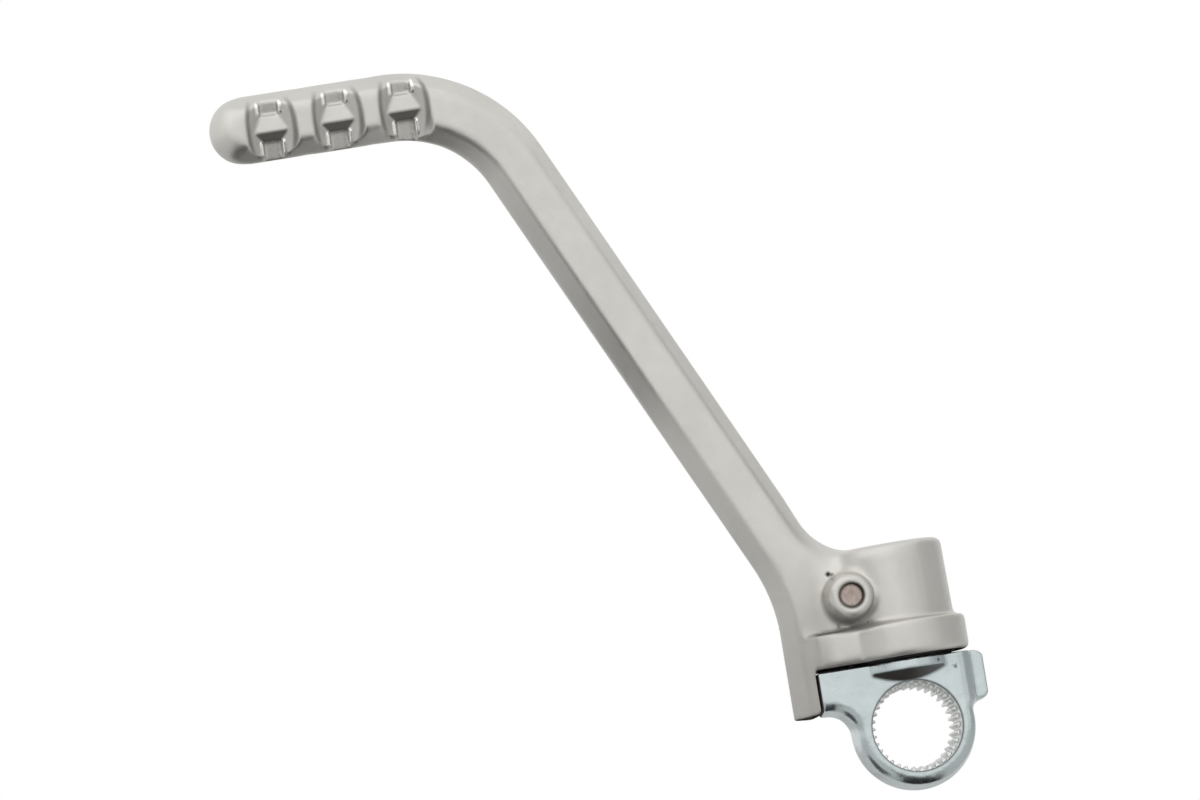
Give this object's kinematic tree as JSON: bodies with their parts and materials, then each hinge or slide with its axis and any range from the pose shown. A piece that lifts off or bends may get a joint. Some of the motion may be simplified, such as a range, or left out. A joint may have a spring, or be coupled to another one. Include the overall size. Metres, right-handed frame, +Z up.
{
  "type": "kick start lever",
  "caption": "Folding kick start lever: forged arm with a toothed foot peg turns on the upright pin of a plated hub, whose serrated ring clamps on the engine's kick shaft",
  "frame": {"origin": "where the axis of the serrated bore and the axis of the lever's pivot pin cross, in the middle of the hub", "axes": "+Y runs along the serrated bore, away from the engine; +Z runs up the pivot pin; the folded lever's peg points to -X"},
  "size_m": [0.1803, 0.0459, 0.209],
  "materials": {
    "forged_aluminium": "fine shot-blasted satin",
    "plated_steel": "bright zinc plate",
    "pin_steel": "ground, slightly stained",
    "ball_steel": "polished",
    "spring_steel": "oiled wire",
    "seal_rubber": "matt black"
  },
  "bodies": {
    "hub": {"hub": "plated_steel", "dust_seal": "seal_rubber", "detent_spring": "spring_steel"},
    "lever": {"lever_arm": "forged_aluminium", "retaining_pin": "pin_steel"},
    "ball": {"detent_ball": "ball_steel"}
  },
  "joints": [
    {"name": "lever_fold", "type": "hinge", "parent": "hub", "child": "lever", "pos_m": [0, 0, 0], "axis": [0, 0, 1], "range_deg": [-90, 0]},
    {"name": "ball_press", "type": "slide", "parent": "hub", "child": "ball", "axis": [0, 0, 1], "range_m": [-0.001, 0], "stiffness_N_per_m": 2000, "springref_m": 0.005, "deforming": ["detent_spring"]}
  ]
}
